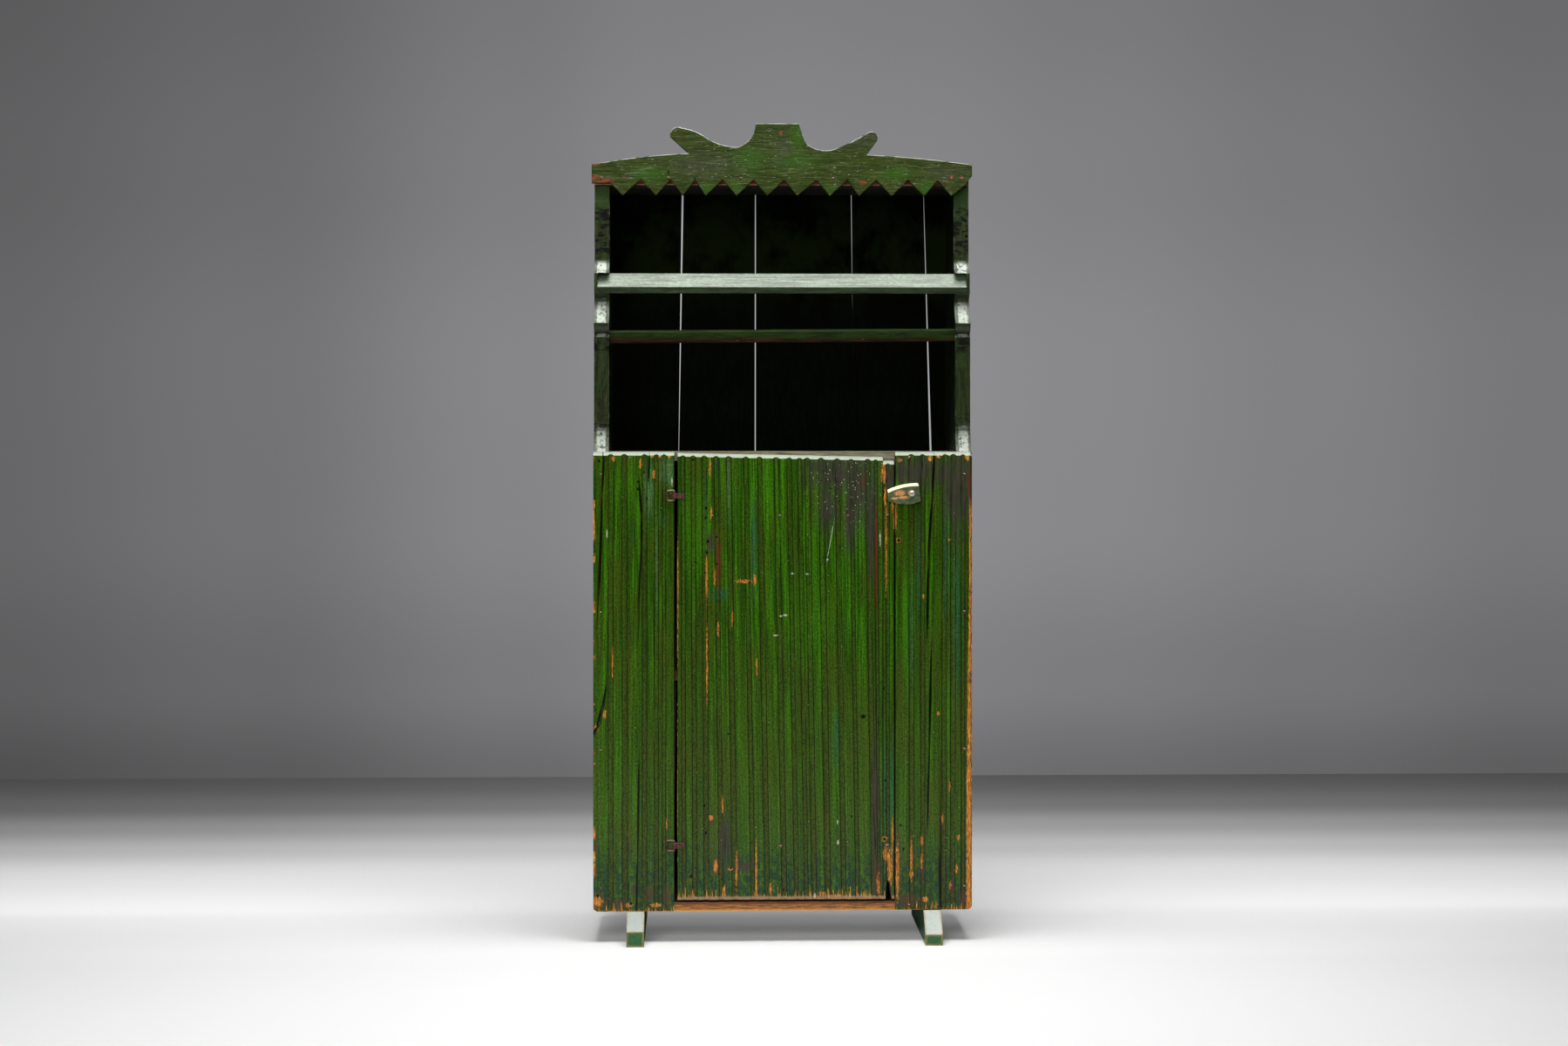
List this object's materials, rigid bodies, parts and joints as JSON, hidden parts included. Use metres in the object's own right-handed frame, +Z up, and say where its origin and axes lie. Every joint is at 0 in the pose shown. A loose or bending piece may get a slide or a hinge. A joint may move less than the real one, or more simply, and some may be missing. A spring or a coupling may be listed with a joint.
{
  "type": "country cupboard",
  "caption": "Painted wooden cupboard with one fluted door on loop hinges, a turn button, and an open rack above under a saw-toothed crest.",
  "frame": {"origin": "on the floor under the middle of the bounding box: midway between the side boards, and midway between the toes and the heels of the runners", "axes": "+Z up, the fluted front faces -Y, +X to the right seen from the front"},
  "size_m": [0.813, 0.377, 1.738],
  "materials": {
    "painted_wood": "worn satin green paint, brushed grain, rubbed edges",
    "fluted_paint": "worn satin bright green paint over fluted boards, grime in the hollows, bare wood at the edges",
    "dark_painted_wood": "dark green matt paint",
    "bare_wood": "old unpainted pine, matt",
    "button_wood": "pale paint worn through to orange wood",
    "forged_iron": "rusty forged iron",
    "bright_nail": "dull bright nail head"
  },
  "bodies": {
    "carcass": {"left_side_board": "painted_wood", "right_side_board": "painted_wood", "bottom_board": "bare_wood", "top_board": "bare_wood", "counter_board": "painted_wood", "inner_shelf": "bare_wood", "left_shelf_cleat": "bare_wood", "right_shelf_cleat": "bare_wood", "back_board_1": "dark_painted_wood", "back_board_2": "dark_painted_wood", "back_board_3": "dark_painted_wood", "back_board_4": "dark_painted_wood", "back_board_5": "dark_painted_wood", "upper_rail": "painted_wood", "lower_rail": "painted_wood", "crest_board": "painted_wood", "left_front_board": "fluted_paint", "right_front_board": "fluted_paint", "left_runner": "painted_wood", "right_runner": "painted_wood", "upper_hinge_loop": "forged_iron", "lower_hinge_loop": "forged_iron", "turn_button_nail": "bright_nail", "front_board_nails": "forged_iron", "back_board_nails": "forged_iron", "crest_nails": "forged_iron", "top_board_nails": "forged_iron", "runner_nails": "forged_iron", "cleat_nails": "forged_iron"},
    "door": {"door_board": "fluted_paint", "door_edge_strip": "fluted_paint", "lower_door_batten": "bare_wood", "upper_door_batten": "bare_wood", "upper_hinge_strap": "forged_iron", "lower_hinge_strap": "forged_iron", "door_nails": "forged_iron"},
    "turn_button": {"turn_button": "button_wood"}
  },
  "joints": [
    {"name": "door_hinge", "type": "hinge", "parent": "carcass", "child": "door", "pos_m": [-0.2295, -0.1429, 0.5745], "axis": [0, 0, -1], "range_deg": [0, 170]},
    {"name": "button_turn", "type": "hinge", "parent": "carcass", "child": "turn_button", "pos_m": [0.272, -0.1455, 0.949], "axis": [0, -1, 0], "continuous": true}
  ]
}
